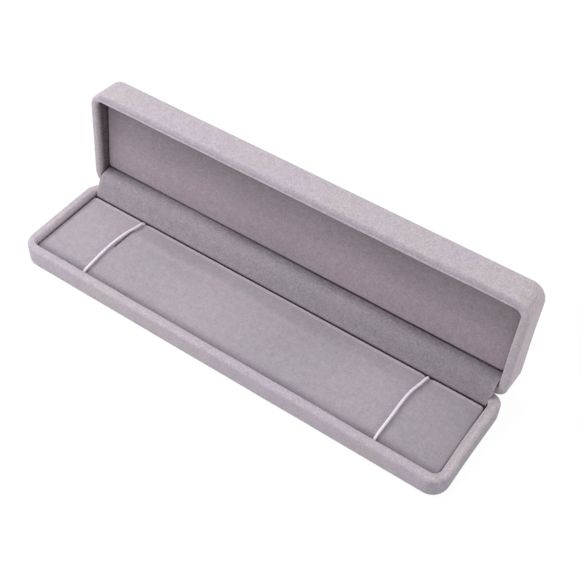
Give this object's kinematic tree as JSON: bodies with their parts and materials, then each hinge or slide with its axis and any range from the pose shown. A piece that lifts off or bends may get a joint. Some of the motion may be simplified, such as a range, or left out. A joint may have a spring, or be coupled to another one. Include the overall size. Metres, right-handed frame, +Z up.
{
  "type": "necklace box",
  "caption": "Long velvet necklace box, standing open, with a lift-out padded insert under elastic cords, a padded lid and concealed snap hinges.",
  "frame": {"origin": "middle of the underside of the base", "axes": "X along the box, with +X to the viewer's right from the front; +Y from the open front to the hinged back; +Z up"},
  "size_m": [0.23, 0.0755, 0.0653],
  "materials": {
    "velvet_outside": "short-pile velvet, light pinkish grey",
    "velvet_pad": "short-pile velvet, lavender grey",
    "velvet_lining": "short-pile velvet, deeper mauve grey",
    "moulded_grey": "moulded plastic, dark grey",
    "foam": "open-cell foam, off-white",
    "card": "grey card",
    "elastic": "fine round elastic, white",
    "plated_steel": "nickel-plated spring steel"
  },
  "bodies": {
    "base": {"base_shell": "moulded_grey", "base_wrap": "velvet_outside", "hinge_base_leaf_left": "plated_steel", "hinge_base_leaf_right": "plated_steel", "hinge_pin_left": "plated_steel", "hinge_pin_right": "plated_steel", "hinge_spring_left": "plated_steel", "hinge_spring_right": "plated_steel", "hinge_cover_strip": "velvet_pad"},
    "lid": {"lid_shell": "moulded_grey", "lid_wrap": "velvet_outside", "lining_board": "card", "lining_foam": "foam", "lining_cover": "velvet_lining", "hinge_lid_leaf_left": "plated_steel", "hinge_lid_leaf_right": "plated_steel"},
    "pad": {"pad_board": "card", "pad_foam": "foam", "pad_cover": "velvet_pad", "elastic_cord_left": "elastic", "elastic_cord_right": "elastic", "elastic_knot_left": "elastic", "elastic_knot_right": "elastic"}
  },
  "joints": [
    {"name": "lid_hinge", "type": "hinge", "parent": "base", "child": "lid", "pos_m": [0, 0.02625, 0.01215], "axis": [1, 0, 0], "range_deg": [0, 95], "deforming": ["hinge_cover_strip", "hinge_spring_left", "hinge_spring_right"]},
    {"name": "pad_lift", "type": "slide", "parent": "base", "child": "pad", "axis": [0, 0, 1], "range_m": [0, 0.007]}
  ]
}
